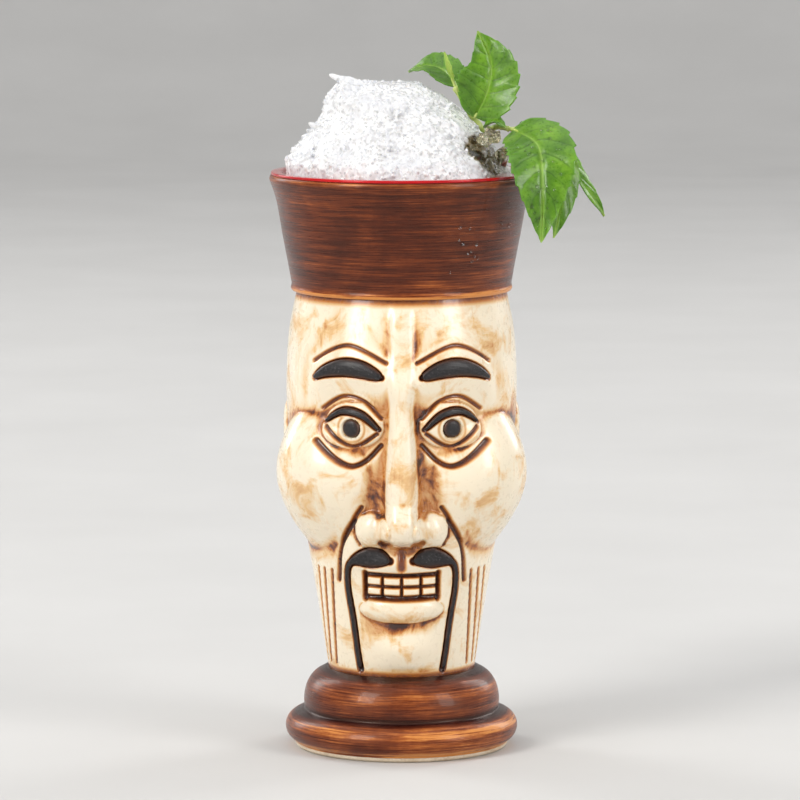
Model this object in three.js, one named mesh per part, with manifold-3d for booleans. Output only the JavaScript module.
// A served tiki mug: a slip-cast ceramic head wearing a flared hat, standing on a stepped pedestal,
// with a heap of crushed ice and a sprig of mint that both lift straight out.
// Millimetres, +Z up, origin at the centre of the foot, face towards -Y.
import * as THREE from "three";
import { mergeVertices } from "three/addons/utils/BufferGeometryUtils.js";
import Module from "manifold-3d";

const wasm = await Module();
wasm.setup();

// ---- driving dimensions ----
const HEIGHT = 180; // table to the crest of the rim
const RIM_RADIUS = 41;
const LIP = 1; // red glaze standing on top of the hat wall
const HAT_TOP = HEIGHT - LIP;
const HAT_LINE = 143; // where the hat sits on the head
const HAT_FOOT_RADIUS = 33.2;
const PEDESTAL_TOP = 25;
const PEDESTAL_FLOOR = 6; // inside, under the drink
const LOWER_BEAD = { radius: 31, height: 6.4, out: 5.3, up: 4.9 };
const UPPER_BEAD = { radius: 24, height: 14.6, out: 6.6, up: 9.6 };
const FOOT_TOP = 1.5; // unglazed foot below the brown glaze
const FOOT_RADIUS = 33.4;
const GLAZE_GAP = 0.3; // clearance between neighbouring solids
const LINER = 0.8; // red glaze coat
const SEGMENTS = 40; // facets round every turned piece
const HEAD_SEGMENTS = 50;
const HEAD_ROWS = 30;
const FRONT_PACKING = 0.6; // how much closer the head's facets stand at the face

// Outlines as [height, radius], joined by a smooth curve.
const HEAD_OUTLINE = [
  [PEDESTAL_TOP, 22.8],
  [50, 26.8],
  [72, 30.6],
  [92, 34.4],
  [112, 35.8],
  [130, 35],
  [HAT_LINE, 32.6],
];
const CAVITY_OUTLINE = [
  [PEDESTAL_TOP, 17.6],
  [53, 21.4],
  [72, 25.2],
  [92, 28.6],
  [112, 29.8],
  [HAT_LINE, 30],
  [160, 32.6],
  [HAT_TOP, 37.6],
];
const CAVITY_ROWS = [PEDESTAL_TOP, 46, 68, 90, 116, HAT_LINE, 154, 167, HAT_TOP];
const HAT_OUTLINE = [
  [HAT_LINE + 1.2, 34.1],
  [148, 34.6],
  [161, 37],
  [171, 38.8],
  [176, 40.4],
  [HAT_TOP - 1.4, RIM_RADIUS],
];

// ---- proportions of the face ----
const CHIN = 29;
const EYE_LINE = (HEIGHT + CHIN) / 2; // eyes halfway up the head
const NOSE_BASE = (EYE_LINE + CHIN) / 2; // nose ends halfway from the eyes to the chin
const MOUTH_LINE = NOSE_BASE - (NOSE_BASE - CHIN) / 3; // mouth a third of the way down from there
const EYE_SPACING = 15.5; // middle of the face to the middle of an eye
const BROW_LINE = EYE_LINE + 12.5;
const CHEEK_LINE = (EYE_LINE + NOSE_BASE) / 2;
const EAR_LINE = (BROW_LINE + NOSE_BASE) / 2; // ears reach from the brow to the nose base
const EAR_SIDE = 64; // middle of the face to the middle of an ear, round the head
const MOUTH_HALF = 11.5;
const TOOTH_HALF = 3.6;

// ---- ice and mint ----
const PLUG_BOTTOM = 140;
const PLUG_TOP = 177;
const ICE_GAP = 0.6; // ice to the red glaze
const HEAP_OUTLINE = [
  [PLUG_TOP, 35.4],
  [183, 33.6],
  [189, 29],
  [197, 23.2],
  [203, 18.6],
  [207, 12.4],
];
const ICE_TOP = 208.6;
const HEAP_LEAN = -8; // the top of the heap stands this far off the mug's axis
const STEM_RADIUS = 1.15;
const SIDE_STEM_RADIUS = 0.9;
const STEM_CLEARANCE = 0.6; // stem to the ice it lies in
const WELL_RADIUS = 2.2; // upright hole that the stem stands in
const WELL_DEPTH = 14;
const LEAF_THICKNESS = 0.7;

// ---- small tools ----
const clamp01 = (x) => Math.min(1, Math.max(0, x));
const smoothstep = (a, b, x) => {
  const t = clamp01((x - a) / (b - a));
  return t * t * (3 - 2 * t);
};
const bump = (dx, dz, rx, rz) => Math.exp(-((dx / rx) ** 2) - (dz / rz) ** 2);
const swelling = (dx, dz, rx, rz, edge = 1.3) => Math.max(0, 1 - (dx / rx) ** 2 - (dz / rz) ** 2) ** edge;
const mix = (a, b, t) => a + (b - a) * t;

// The radius of an outline at height z: a cubic through its points.
function radiusAt(outline, z) {
  const last = outline.length - 2;
  let i = 0;
  while (i < last && z > outline[i + 1][0]) i += 1;
  const slope = (k) => {
    const a = outline[Math.max(0, k - 1)];
    const b = outline[Math.min(outline.length - 1, k + 1)];
    return (b[1] - a[1]) / (b[0] - a[0]);
  };
  const [z0, r0] = outline[i];
  const [z1, r1] = outline[i + 1];
  const h = z1 - z0;
  const t = clamp01((z - z0) / h);
  const flat = (1 - t) * (1 - t);
  return (
    r0 * (1 + 2 * t) * flat +
    slope(i) * h * t * flat +
    r1 * t * t * (3 - 2 * t) +
    slope(i + 1) * h * t * t * (t - 1)
  );
}

// Points [radius, height] up or down an outline, for a turned profile.
function alongOutline(outline, from, to, steps, inset = 0) {
  return Array.from({ length: steps + 1 }, (_, i) => {
    const z = mix(from, to, i / steps);
    return [radiusAt(outline, z) - inset, z];
  });
}

// The wall of the cavity from height a to b, every neighbour using the same heights.
function cavityWall(a, b, inset = 0) {
  const rows = CAVITY_ROWS.filter((z) => z >= Math.min(a, b) && z <= Math.max(a, b));
  const wall = rows.map((z) => [radiusAt(CAVITY_OUTLINE, z) - inset, z]);
  return a < b ? wall : wall.reverse();
}

// The outside of a rounded bead in a profile, from angle a to b in degrees above level.
function beadProfile({ radius, height, out, up }, a, b, steps = 5) {
  return Array.from({ length: steps + 1 }, (_, i) => {
    const angle = THREE.MathUtils.degToRad(mix(a, b, i / steps));
    return [radius + out * Math.cos(angle), height + up * Math.sin(angle)];
  });
}

// A turned solid about Z. The profile runs anticlockwise in the radius-height plane.
function turned(profile, segments = SEGMENTS) {
  const points = profile.map(([r, z]) => new THREE.Vector2(Math.max(0, r), z));
  if (profile[0][0] > 0) points.push(points[0].clone());
  return new THREE.LatheGeometry(points, segments).rotateX(Math.PI / 2);
}

function toSolid(geometry) {
  const loose = geometry.index ? geometry.toNonIndexed() : geometry;
  const bare = new THREE.BufferGeometry().setAttribute("position", loose.getAttribute("position"));
  const merged = mergeVertices(bare, 1e-3);
  const mesh = new wasm.Mesh({
    numProp: 3,
    vertProperties: merged.attributes.position.array,
    triVerts: new Uint32Array(merged.index.array),
  });
  return new wasm.Manifold(mesh);
}

function toGeometry(solid) {
  const mesh = solid.getMesh();
  const geometry = new THREE.BufferGeometry();
  geometry.setAttribute("position", new THREE.BufferAttribute(mesh.vertProperties, 3));
  geometry.setIndex(new THREE.BufferAttribute(mesh.triVerts, 1));
  geometry.computeVertexNormals();
  return geometry;
}

function cut(geometry, cutters) {
  return toGeometry(cutters.reduce((left, cutter) => left.subtract(toSolid(cutter)), toSolid(geometry)));
}

// Moves every vertex of a geometry to where place(vertex) says.
function reshape(geometry, place) {
  const position = geometry.getAttribute("position");
  const v = new THREE.Vector3();
  for (let i = 0; i < position.count; i += 1) {
    v.fromBufferAttribute(position, i);
    place(v);
    position.setXYZ(i, v.x, v.y, v.z);
  }
  geometry.computeVertexNormals();
  return geometry;
}

// ---- the head's surface ----
// The middle of the brow, a level arch, at a distance s from the middle of the face.
const browHeight = (s) => BROW_LINE + 5.4 * Math.sin(Math.PI * clamp01((s - 1) / 31));

// side is the distance round the head from the middle of the face, in millimetres, positive to +X.
function relief(side, z) {
  const s = Math.abs(side);
  const down = smoothstep(BROW_LINE + 8, NOSE_BASE + 6, z); // 0 at the forehead, 1 at the nose tip
  const bridge = Math.exp(-((s / mix(3.4, 5, down)) ** 4)) * smoothstep(NOSE_BASE - 1.5, NOSE_BASE + 3, z);
  const forms = [
    2 * bump(0, z - browHeight(s), 1, 6) * smoothstep(36, 24, s), // brow ridge
    -2.6 * bump(s - EYE_SPACING, z - EYE_LINE + 1, 10.5, 8.5), // eye socket
    3.6 * swelling(s - EYE_SPACING, z - EYE_LINE, 10.5, 7.5, 0.9), // eyeball
    mix(1.2, 7, down) * bridge, // bridge of the nose
    3.4 * swelling(s, z - NOSE_BASE - 6.5, 8, 8), // tip
    4.6 * swelling(s - 8.6, z - NOSE_BASE - 5, 6, 6.4, 1), // wings
    8.5 * swelling(s - 33, z - CHEEK_LINE, 23, 21, 1), // cheeks
    3.2 * swelling(s - EAR_SIDE, z - EAR_LINE, 8, 17, 0.8), // ears
    1.6 * bump(s - 15.5, z - NOSE_BASE + 1, 4, 7), // folds from the nose to the mouth
    1.3 * bump(s, z - MOUTH_LINE - TOOTH_HALF - 3.4, 13, 2.6), // upper lip
    2.8 * swelling(s, z - MOUTH_LINE + TOOTH_HALF + 4, 13.5, 4.6, 0.9), // lower lip
    2.4 * bump(s, z - CHIN - 5, 9, 6), // chin
  ];
  const sum = forms.reduce((total, form) => total + form, 0);
  return sum * smoothstep(PEDESTAL_TOP, PEDESTAL_TOP + 4, z) * smoothstep(HAT_LINE, HAT_LINE - 6, z);
}

// The point on the head at (side, z), lifted off the surface along the radius.
function onHead(side, z, lift) {
  const bare = radiusAt(HEAD_OUTLINE, z);
  const angle = side / bare;
  const r = bare + relief(side, z) + lift;
  return new THREE.Vector3(r * Math.sin(angle), -r * Math.cos(angle), z);
}

// A strip laid on the head along a path of (side, z) points, from lift `low` to lift `high`.
// halfWidth(t) is its half width along the path, t running from 0 to 1.
function strip({ path, halfWidth, low, high, steps = 8, across = 2, grow = 0 }) {
  const curve = new THREE.SplineCurve(path.map(([a, b]) => new THREE.Vector2(a, b)));
  const at = new THREE.Vector2();
  const along = new THREE.Vector2();
  return reshape(new THREE.BoxGeometry(1, 1, 1, steps, across, 1), (v) => {
    const t = v.x + 0.5;
    const half = halfWidth(t) + grow;
    curve.getPoint(t, at);
    curve.getTangent(t, along);
    const overrun = t === 0 ? -grow : t === 1 ? grow : 0;
    const side = at.x + along.x * overrun - along.y * 2 * v.y * half;
    const z = at.y + along.y * overrun + along.x * 2 * v.y * half;
    v.copy(onHead(side, z, v.z > 0 ? high : low));
  });
}

const mirrored = (path) => path.map(([side, z]) => [-side, z]);
const taper = (ends, middle, peak = 0.5) => (t) =>
  mix(ends, middle, Math.sin(Math.PI * t ** (Math.log(0.5) / Math.log(peak))));

// ---- the black glaze fields: paths for the +X side of the face ----
const BROW = {
  path: [6, 12, 18, 24, 29].map((s) => [s, browHeight(s)]),
  halfWidth: taper(0.5, 2.6, 0.4),
};
const LASH = {
  path: [[7, EYE_LINE - 1], [12, EYE_LINE + 3.3], [18.5, EYE_LINE + 4.4], [25, EYE_LINE + 1]],
  halfWidth: taper(0.35, 1),
};
const MOUSTACHE = {
  path: [
    [3.6, NOSE_BASE - 4.6],
    [9.5, NOSE_BASE - 3.6],
    [16.2, NOSE_BASE - 6],
    [17.8, MOUTH_LINE],
    [15.8, MOUTH_LINE - 12],
    [13.4, PEDESTAL_TOP + 2],
  ],
  halfWidth: (t) => 0.75 + 2.3 * Math.sin(Math.PI * clamp01(t / 0.38)) ** 1.2,
  steps: 20,
};
const PUPIL = { radius: 2.7, height: EYE_LINE - 0.8 };

function onSide(field, side) {
  return { ...field, path: side < 0 ? mirrored(field.path) : field.path };
}

function pupil(side, low, high, grow = 0) {
  const centre = onHead(side * EYE_SPACING, PUPIL.height, (low + high) / 2);
  const outward = centre.clone().setZ(0).normalize();
  return new THREE.CylinderGeometry(PUPIL.radius + grow, PUPIL.radius + grow, high - low, 18)
    .applyQuaternion(new THREE.Quaternion().setFromUnitVectors(new THREE.Vector3(0, 1, 0), outward))
    .translate(centre.x, centre.y, centre.z);
}

// ---- carved lines, each a strip cut out of the head ----
const groove = (path, half, depth, steps = 6) =>
  strip({ path, halfWidth: () => half, low: -depth, high: 8, steps, across: 1 });
const upright = (side, from, to, half, depth) => groove([[side, from], [side, to]], half, depth, 1);

function mouthLines() {
  const top = MOUTH_LINE + TOOTH_HALF;
  const bottom = MOUTH_LINE - TOOTH_HALF;
  const level = (z, half, depth) => groove([[-MOUTH_HALF, z], [0, z - 0.4], [MOUTH_HALF, z]], half, depth);
  const corners = [-1, 1].map((side) => upright(side * MOUTH_HALF, bottom - 0.6, top + 0.4, 0.7, 1.8));
  const teeth = [-6, 0, 6].map((side) => upright(side, bottom, top, 0.4, 1.2));
  return [level(top, 0.6, 1.8), level(MOUTH_LINE, 0.45, 1.2), level(bottom, 0.8, 1.8), ...corners, ...teeth];
}

// Paths for the +X side of the face, each with its half width and depth.
const SIDE_LINES = [
  [[[7.6, EYE_LINE - 2.4], [15.5, EYE_LINE - 6.4], [24, EYE_LINE - 0.6]], 0.6, 1.2], // lower lid
  [[[6.4, EYE_LINE - 6], [15, EYE_LINE - 12.5], [26.5, EYE_LINE - 5]], 0.8, 1.4], // socket
  [[[4.6, BROW_LINE + 7], [17, BROW_LINE + 12], [30, BROW_LINE + 6.6]], 0.5, 0.9], // over the brow
  [[[14.4, NOSE_BASE + 8], [19.6, NOSE_BASE - 1], [21.4, MOUTH_LINE + 1]], 0.7, 1.4], // cheek fold
  [
    [
      [EAR_SIDE - 5, EAR_LINE - 9],
      [EAR_SIDE - 4, EAR_LINE + 8],
      [EAR_SIDE + 1, EAR_LINE + 13],
      [EAR_SIDE + 5, EAR_LINE + 6],
      [EAR_SIDE + 2, EAR_LINE - 6],
      [EAR_SIDE - 2, EAR_LINE - 1],
    ],
    0.7, 1.3, 9, // curl of the ear
  ],
];

function carvedLines() {
  const lines = [...mouthLines(), upright(0, NOSE_BASE - 7, NOSE_BASE - 1.5, 1, 1)];
  for (const side of [-1, 1]) {
    for (const [path, ...size] of SIDE_LINES) lines.push(groove(side < 0 ? mirrored(path) : path, ...size));
    for (const place of [24.5, 28.5, 32.5]) {
      lines.push(upright(side * place, PEDESTAL_TOP + 3, NOSE_BASE - 9, 0.4, 0.8));
    }
  }
  return lines;
}

// ---- ceramic pieces ----
function faceShell() {
  const outer = alongOutline(HEAD_OUTLINE, PEDESTAL_TOP, HAT_LINE, HEAD_ROWS);
  const inner = cavityWall(HAT_LINE, PEDESTAL_TOP);
  const shell = reshape(turned([...outer, ...inner], HEAD_SEGMENTS), (v) => {
    const angle = Math.atan2(v.x, -v.y);
    const packed = angle - FRONT_PACKING * Math.sin(angle);
    const radius = Math.hypot(v.x, v.y);
    const bare = radiusAt(HEAD_OUTLINE, v.z);
    const lift = radius > bare - 0.01 ? relief(packed * bare, v.z) : 0;
    v.set((radius + lift) * Math.sin(packed), -(radius + lift) * Math.cos(packed), v.z);
  });
  const pockets = [-1, 1].flatMap((side) => [
    ...[BROW, LASH, MOUSTACHE].map((field) =>
      strip({ ...onSide(field, side), low: -2, high: 6, across: 1, grow: GLAZE_GAP }),
    ),
    pupil(side, -1.3, 6, GLAZE_GAP),
  ]);
  return cut(shell, [...carvedLines(), ...pockets]);
}

function hatBand() {
  return turned([
    [HAT_FOOT_RADIUS, HAT_LINE],
    ...alongOutline(HAT_OUTLINE, HAT_LINE + 1.2, HAT_TOP - 1.4, 7),
    [RIM_RADIUS - 0.5, HAT_TOP],
    ...cavityWall(HAT_TOP, HAT_LINE),
  ]);
}

// The inside of the pedestal, from the head's cavity down to its floor.
function pedestalInside(inset) {
  return [
    [radiusAt(CAVITY_OUTLINE, PEDESTAL_TOP) - inset, PEDESTAL_TOP],
    [23 - inset, 18],
    [27.4 - inset, 12.5 - inset / 2],
    [26 - inset, 8.4 + inset / 2],
    [22 - inset, PEDESTAL_FLOOR + inset],
    [0, PEDESTAL_FLOOR + inset],
  ];
}

function pedestal() {
  return turned([
    [0, FOOT_TOP],
    [FOOT_RADIUS, FOOT_TOP],
    ...beadProfile(LOWER_BEAD, -60, 72),
    [30.2, 11.9], // the groove between the beads
    ...beadProfile(UPPER_BEAD, -14, 72),
    [23.6, PEDESTAL_TOP],
    ...pedestalInside(0),
  ]);
}

function dryFoot() {
  const radius = FOOT_RADIUS - 0.2;
  return turned([[0, 0], [radius - 0.8, 0], [radius, 0.6], [radius, FOOT_TOP], [0, FOOT_TOP]]);
}

function redLiner() {
  const outside = GLAZE_GAP;
  const inside = GLAZE_GAP + LINER;
  const lipFoot = HAT_TOP + 0.05;
  const wallUp = cavityWall(PEDESTAL_TOP, HAT_TOP, outside);
  const wallDown = cavityWall(HAT_TOP, PEDESTAL_TOP, inside);
  return turned([
    ...pedestalInside(outside).reverse().slice(0, -1),
    ...wallUp.slice(0, -1),
    [radiusAt(CAVITY_OUTLINE, HAT_TOP) - outside, lipFoot],
    [RIM_RADIUS - 0.8, lipFoot],
    [RIM_RADIUS - 0.9, HEIGHT - 0.4],
    [RIM_RADIUS - 1.8, HEIGHT],
    [RIM_RADIUS - 3.2, HEIGHT - 0.2],
    ...wallDown.slice(0, -1),
    ...pedestalInside(inside),
  ]);
}

// ---- ice ----
// A steady lumpiness, the same at the same place.
function lumps(x, y, z) {
  return (
    Math.sin(x * 0.31 + 1.3) * Math.cos(y * 0.27 - z * 0.21) +
    0.6 * Math.sin(x * 0.57 - y * 0.66 + z * 0.35) +
    0.5 * Math.cos(z * 0.83 + y * 0.41)
  );
}

function icePlug() {
  const inset = GLAZE_GAP + LINER + ICE_GAP;
  return turned([
    [0, PLUG_BOTTOM],
    [radiusAt(CAVITY_OUTLINE, PLUG_BOTTOM) - inset - 1, PLUG_BOTTOM],
    ...alongOutline(CAVITY_OUTLINE, PLUG_BOTTOM + 1.5, PLUG_TOP, 4, inset),
    [0, PLUG_TOP],
  ], 36);
}

function iceMound() {
  const crown = HEAP_OUTLINE[HEAP_OUTLINE.length - 1][0];
  const sides = alongOutline(HEAP_OUTLINE, PLUG_TOP, crown, 9);
  const heap = turned([[0, PLUG_TOP], ...sides, [6, ICE_TOP], [0, ICE_TOP + 0.2]], 30);
  return reshape(heap, (v) => {
    const up = clamp01((v.z - PLUG_TOP) / (ICE_TOP - PLUG_TOP)); // 0 at the rim, 1 at the top
    const clear = Math.min(1, up * 5); // the foot of the heap keeps its round
    const swell = 1 + (1.1 * clear * lumps(v.x, v.y, v.z)) / Math.max(Math.hypot(v.x, v.y), 10);
    v.x = v.x * swell + HEAP_LEAN * (0.25 * clear + 0.75 * smoothstep(0.55, 1, up));
    v.y *= swell;
    v.z += 0.9 * up * lumps(v.y, v.z, v.x);
  });
}

const CLEAR_LUMPS = [
  { name: "clear_ice_lump_1", at: [22, -17.5, 184.5], size: [6.5, 4.6, 4.8], turn: 0.4 },
  { name: "clear_ice_lump_2", at: [27.2, -14.8, 191], size: [4.6, 4, 3.4], turn: 1.1 },
  { name: "clear_ice_lump_3", at: [30.6, -8, 183.8], size: [3.4, 4.4, 3.6], turn: 2.2 },
];

function clearLump({ at, size, turn }, grow = 0) {
  return new THREE.IcosahedronGeometry(1, 1)
    .scale(...size.map((radius) => radius + grow))
    .rotateZ(turn)
    .rotateY(turn / 2)
    .translate(...at);
}

// ---- mint ----
const vectors = (points) => points.map((p) => new THREE.Vector3(...p));
const MAIN_STEM = [[26.5, -3, 164], [26.8, -3, 180], [25.8, -3.4, 190], [21, -3.6, 198.6], [16.6, -3, 206]];
const SIDE_STEM = [[27, -5.6, 193.2], [29.8, -8, 194.2], [33, -10.4, 193.6]];

function stem(points, radius, steps) {
  const section = new THREE.Shape().absarc(0, 0, radius, 0, 2 * Math.PI);
  const path = new THREE.CatmullRomCurve3(vectors(points));
  return new THREE.ExtrudeGeometry(section, { steps, extrudePath: path, curveSegments: 4 });
}

// Each leaf: its midrib from stalk to tip, its width, the way its upper side faces, and its fold.
const LEAVES = [
  {
    name: "tall_leaf",
    midrib: [[22.6, -5.4, 197], [26.4, -7, 205.5], [27.4, -6.4, 214], [23.4, -5, 223.4]],
    width: 20.5, face: [-0.15, -1, 0.25], fold: 0.3,
  },
  {
    name: "back_leaf",
    midrib: [[17.2, 0.4, 206], [12.8, 4, 211], [7.4, 8, 212], [2.2, 11.4, 210]],
    width: 13, face: [0, -0.6, 1], fold: 0.25,
  },
  {
    name: "young_leaf",
    midrib: [[15.6, -3.2, 208.6], [14.2, -3.6, 211.4], [13.6, -4, 214.2], [13.2, -4.4, 217]],
    width: 5, face: [1, 0.25, 0.2], fold: 0.35,
  },
  {
    name: "curled_leaf",
    midrib: [[25.6, -10, 194.2], [27.4, -11, 195.6], [29.6, -12.2, 195.8], [31.8, -13.4, 194.2]],
    width: 7, face: [0.3, -0.4, 1], fold: 0.2,
  },
  {
    name: "drooping_leaf",
    midrib: [[34.6, -12.4, 193.4], [41.6, -23, 189.4], [43, -29.4, 177], [42.4, -30, 160.4]],
    width: 21.5, face: [0.1, -1, 0.7], fold: 0.16,
  },
  {
    name: "under_leaf",
    midrib: [[35.4, -10.4, 192.8], [45.6, -14, 186], [49, -17.6, 175], [46.6, -19.6, 161]],
    width: 15, face: [0.6, -0.8, 0.5], fold: 0.2,
  },
  {
    name: "side_leaf",
    midrib: [[36, -6.6, 193.8], [45, -2, 188], [54.4, -3, 178], [62.6, -6, 166.4]],
    width: 13, face: [0.5, -0.35, 0.8], fold: 0.3,
  },
];

function leaf({ midrib, width, face, fold }) {
  const curve = new THREE.CatmullRomCurve3(vectors(midrib), false, "catmullrom", 0.5);
  const up = new THREE.Vector3(...face);
  return reshape(new THREE.BoxGeometry(1, 1, 1, 10, 4, 1), (v) => {
    const t = v.x + 0.5;
    const half = 0.5 + (width / 2 - 0.5) * Math.sin(Math.PI * t ** 0.85) ** 0.85;
    const along = curve.getTangent(t);
    const out = up.clone().addScaledVector(along, -up.dot(along)).normalize();
    const sideways = out.clone().cross(along);
    const lift = Math.abs(2 * v.y) * half * Math.sin(fold) + v.z * LEAF_THICKNESS;
    const across = 2 * v.y * half * Math.cos(fold);
    v.copy(curve.getPoint(t)).addScaledVector(sideways, across).addScaledVector(out, lift);
  });
}

// ---- materials ----
const finish = (color, roughness) => new THREE.MeshStandardMaterial({ color, roughness, metalness: 0 });
const BROWN_GLAZE = finish(0x5a2513, 0.3);
const CREAM_GLAZE = finish(0xf0dcb8, 0.35);
const BLACK_GLAZE = finish(0x1d1a1b, 0.4);
const RED_GLAZE = finish(0xb80c12, 0.15);
const BARE_CLAY = finish(0xd9cbb2, 0.85);
const ICE = finish(0xeef2f6, 0.5);
const MINT_LEAF = finish(0x3f8f1c, 0.45);
const MINT_STEM = finish(0x9fb93a, 0.5);

// ---- assembly ----
function piece(name, geometry, material) {
  const mesh = new THREE.Mesh(geometry, material);
  mesh.name = name;
  return mesh;
}

function mug() {
  const group = new THREE.Group();
  group.add(piece("dry_foot", dryFoot(), BARE_CLAY));
  group.add(piece("pedestal", pedestal(), BROWN_GLAZE));
  group.add(piece("face_shell", faceShell(), CREAM_GLAZE));
  group.add(piece("hat_band", hatBand(), BROWN_GLAZE));
  group.add(piece("red_liner", redLiner(), RED_GLAZE));
  for (const [word, side] of [["left", -1], ["right", 1]]) {
    for (const [name, field] of Object.entries({ brow: BROW, lash_line: LASH, moustache: MOUSTACHE })) {
      const solid = strip({ ...onSide(field, side), low: -1, high: 0.6 });
      group.add(piece(`${word}_${name}`, solid, BLACK_GLAZE));
    }
    group.add(piece(`${word}_pupil`, pupil(side, -1, 0.7), BLACK_GLAZE));
  }
  return group;
}

function iceHeap() {
  const group = new THREE.Group();
  const [wellX, wellY] = MAIN_STEM[0];
  const wellHeight = ICE_TOP - PLUG_TOP + WELL_DEPTH;
  const stemWell = new THREE.CylinderGeometry(WELL_RADIUS, WELL_RADIUS, wellHeight, 12)
    .rotateX(Math.PI / 2)
    .translate(wellX, wellY, PLUG_TOP - WELL_DEPTH + wellHeight / 2);
  const stemBed = stem(MAIN_STEM, STEM_RADIUS + STEM_CLEARANCE, 10);
  const beds = CLEAR_LUMPS.map((lump) => clearLump(lump, GLAZE_GAP));
  group.add(piece("ice_plug", cut(icePlug(), [stemWell]), ICE));
  group.add(piece("ice_mound", cut(iceMound(), [stemWell, stemBed, ...beds]), ICE));
  for (const lump of CLEAR_LUMPS) group.add(piece(lump.name, clearLump(lump), ICE));
  return group;
}

function mintSprig() {
  const group = new THREE.Group();
  group.add(piece("main_stem", stem(MAIN_STEM, STEM_RADIUS, 10), MINT_STEM));
  group.add(piece("side_stem", stem(SIDE_STEM, SIDE_STEM_RADIUS, 6), MINT_STEM));
  for (const shape of LEAVES) group.add(piece(shape.name, leaf(shape), MINT_LEAF));
  return group;
}

const tikiMug = new THREE.Group();
tikiMug.add(mug(), iceHeap(), mintSprig());

export default tikiMug;
